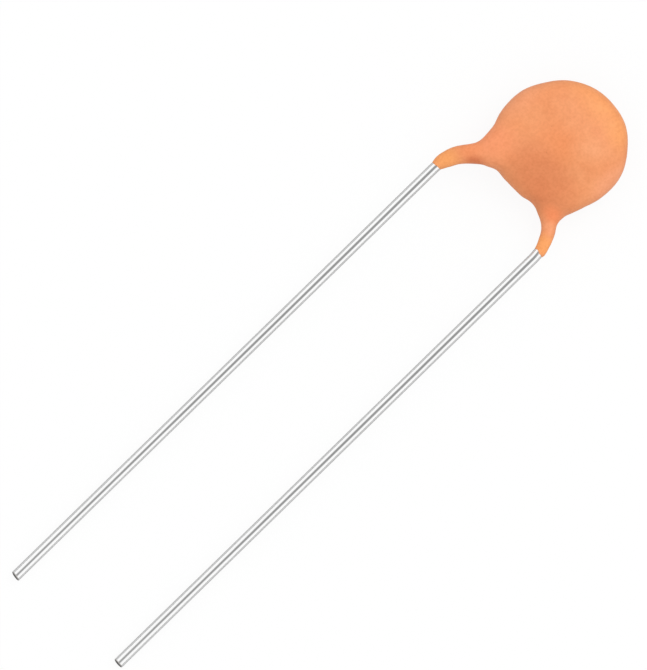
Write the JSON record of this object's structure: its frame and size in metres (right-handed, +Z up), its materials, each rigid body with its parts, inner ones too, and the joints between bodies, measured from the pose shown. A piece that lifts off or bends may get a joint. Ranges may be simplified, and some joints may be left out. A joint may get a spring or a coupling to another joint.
{
  "type": "ceramic disc capacitor",
  "caption": "Ceramic disc capacitor with an orange dipped resin coat and straight parallel tinned wire leads.",
  "frame": {"origin": "on the ground under the middle of the part's box, with the part lying at rest on the rear of its coat and its lead tips", "axes": "+X across the leads from the left lead to the right lead, +Y along the leads from their tips to the disc, +Z up out of the front face"},
  "size_m": [0.0054, 0.0282, 0.0022],
  "materials": {
    "resin": "satin",
    "ceramic": "matte",
    "silver": "matte",
    "solder": "satin",
    "tinned_wire": "gloss"
  },
  "bodies": {
    "root": {"resin_coat": "resin", "ceramic_disc": "ceramic", "front_electrode": "silver", "rear_electrode": "silver", "front_solder": "solder", "rear_solder": "solder", "left_lead": "tinned_wire", "right_lead": "tinned_wire"}
  },
  "joints": []
}
